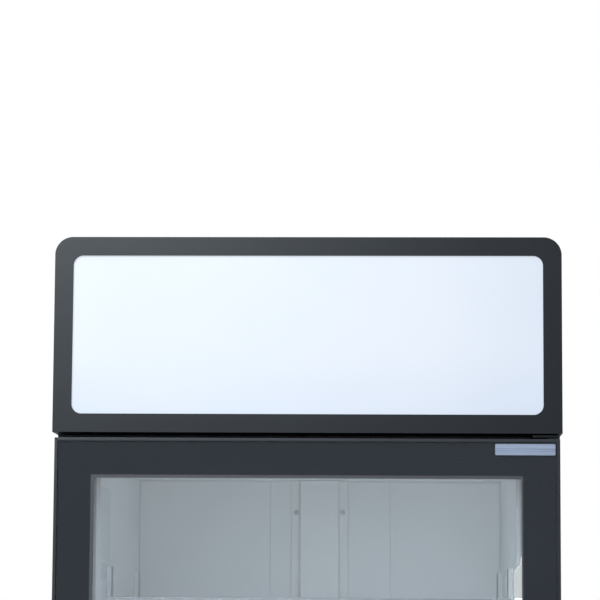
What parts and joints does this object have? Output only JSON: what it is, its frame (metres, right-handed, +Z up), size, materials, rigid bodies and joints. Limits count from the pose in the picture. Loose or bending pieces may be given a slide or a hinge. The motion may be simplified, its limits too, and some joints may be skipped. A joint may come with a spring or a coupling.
{
  "type": "glass door merchandiser",
  "caption": "Upright refrigerated display cabinet with a hinged glass door, wire shelves, a lit canopy and a machine compartment below.",
  "frame": {"origin": "on the floor, under the middle of the overall box", "axes": "+Z up, -Y is the front with the door, +X is the hinge side, at the right of a customer who faces the door"},
  "size_m": [0.62, 0.648, 1.985],
  "materials": {
    "black_paint": "satin",
    "collar_paint": "satin",
    "white_sheet": "satin",
    "liner_plastic": "satin",
    "foam": "matte",
    "canopy_paint": "satin",
    "opal_plastic": "satin",
    "board": "satin",
    "zinc_steel": "satin",
    "aluminium": "satin",
    "copper": "satin",
    "door_black": "satin",
    "black_plastic": "matte",
    "compressor_paint": "gloss",
    "grey_plastic": "satin",
    "glass": "gloss",
    "rubber": "matte",
    "wire_coating": "satin"
  },
  "bodies": {
    "cabinet": {"left_side_panel": "black_paint", "right_side_panel": "black_paint", "top_panel": "black_paint", "rear_panel": "black_paint", "front_collar": "collar_paint", "ceiling_drip_tray": "white_sheet", "rear_duct_cover": "white_sheet", "inner_liner": "liner_plastic", "foam_insulation": "foam", "canopy_frame": "canopy_paint", "sign_panel": "opal_plastic", "lamp_diffuser": "opal_plastic", "led_tray": "board", "base_tray": "zinc_steel", "upper_hinge": "zinc_steel", "lower_hinge": "zinc_steel", "electrical_box": "zinc_steel", "condenser_fan_shroud": "zinc_steel", "rear_guard": "zinc_steel", "evaporator_coil": "aluminium", "condenser_coil": "aluminium", "discharge_pipe": "copper", "suction_pipe": "copper", "evaporator_fan_motor": "black_plastic", "condenser_fan_motor": "black_plastic", "evaporation_tray": "black_plastic", "kick_panel": "black_plastic", "controller_body": "black_plastic", "cable_gland": "black_plastic", "compressor": "compressor_paint", "lamp_housing": "grey_plastic", "shelf_rail_left_front": "wire_coating", "shelf_rail_left_rear": "wire_coating", "shelf_rail_right_front": "wire_coating", "shelf_rail_right_rear": "wire_coating"},
    "door": {"door_stile_left": "door_black", "door_stile_right": "door_black", "door_rail_top": "door_black", "door_rail_bottom": "door_black", "front_glass": "glass", "glass_spacer": "aluminium", "rear_glass": "glass", "door_inner_frame": "black_plastic", "door_gasket": "rubber", "door_handle": "black_plastic"},
    "shelf_1": {"wire_shelf_1": "wire_coating"},
    "shelf_2": {"wire_shelf_2": "wire_coating"},
    "shelf_3": {"wire_shelf_3": "wire_coating"},
    "shelf_4": {"wire_shelf_4": "wire_coating"},
    "evaporator_fan": {"evaporator_fan_blade": "black_plastic"},
    "condenser_fan": {"condenser_fan_blade": "black_plastic"},
    "foot_left": {"levelling_foot_left": "zinc_steel"},
    "foot_right": {"levelling_foot_right": "zinc_steel"},
    "roller_left": {"rear_roller_left": "black_plastic"},
    "roller_right": {"rear_roller_right": "black_plastic"},
    "lock": {"door_lock": "zinc_steel"},
    "light_switch": {"light_switch_rocker": "grey_plastic"},
    "button_1": {"controller_button_1": "grey_plastic"},
    "button_2": {"controller_button_2": "grey_plastic"},
    "button_3": {"controller_button_3": "grey_plastic"}
  },
  "joints": [
    {"name": "door_hinge", "type": "hinge", "parent": "cabinet", "child": "door", "pos_m": [0.2985, -0.266, 1.035], "axis": [0, 0, 1], "range_deg": [0, 110], "stiffness_Nm_per_rad": 1.2, "springref_deg": -22.92},
    {"name": "shelf_1_lift", "type": "slide", "parent": "cabinet", "child": "shelf_1", "axis": [0, 0, 1], "range_m": [0, 0.06]},
    {"name": "shelf_2_lift", "type": "slide", "parent": "cabinet", "child": "shelf_2", "axis": [0, 0, 1], "range_m": [0, 0.06]},
    {"name": "shelf_3_lift", "type": "slide", "parent": "cabinet", "child": "shelf_3", "axis": [0, 0, 1], "range_m": [0, 0.06]},
    {"name": "shelf_4_lift", "type": "slide", "parent": "cabinet", "child": "shelf_4", "axis": [0, 0, 1], "range_m": [0, 0.06]},
    {"name": "evaporator_fan_spin", "type": "hinge", "parent": "cabinet", "child": "evaporator_fan", "pos_m": [0, -0.095, 1.7313], "axis": [0, 0, 1], "continuous": true},
    {"name": "condenser_fan_spin", "type": "hinge", "parent": "cabinet", "child": "condenser_fan", "pos_m": [-0.105, -0.146, 0.182], "axis": [0, 1, 0], "continuous": true},
    {"name": "foot_left_adjust", "type": "slide", "parent": "cabinet", "child": "foot_left", "axis": [0, 0, -1], "range_m": [0, 0.015]},
    {"name": "foot_right_adjust", "type": "slide", "parent": "cabinet", "child": "foot_right", "axis": [0, 0, -1], "range_m": [0, 0.015]},
    {"name": "roller_left_spin", "type": "hinge", "parent": "cabinet", "child": "roller_left", "pos_m": [-0.262, 0.272, 0.018], "axis": [1, 0, 0], "continuous": true},
    {"name": "roller_right_spin", "type": "hinge", "parent": "cabinet", "child": "roller_right", "pos_m": [0.262, 0.272, 0.018], "axis": [1, 0, 0], "continuous": true},
    {"name": "lock_turn", "type": "hinge", "parent": "cabinet", "child": "lock", "pos_m": [-0.268, -0.27, 0.304], "axis": [0, -1, 0], "range_deg": [0, 90]},
    {"name": "light_switch_rock", "type": "hinge", "parent": "cabinet", "child": "light_switch", "pos_m": [0.076, -0.277, 0.281], "axis": [1, 0, 0], "range_deg": [-16, 0]},
    {"name": "button_1_press", "type": "slide", "parent": "cabinet", "child": "button_1", "axis": [0, 1, 0], "range_m": [0, 0.001], "stiffness_N_per_m": 300, "springref_m": -0.001},
    {"name": "button_2_press", "type": "slide", "parent": "cabinet", "child": "button_2", "axis": [0, 1, 0], "range_m": [0, 0.001], "stiffness_N_per_m": 300, "springref_m": -0.001},
    {"name": "button_3_press", "type": "slide", "parent": "cabinet", "child": "button_3", "axis": [0, 1, 0], "range_m": [0, 0.001], "stiffness_N_per_m": 300, "springref_m": -0.001}
  ]
}
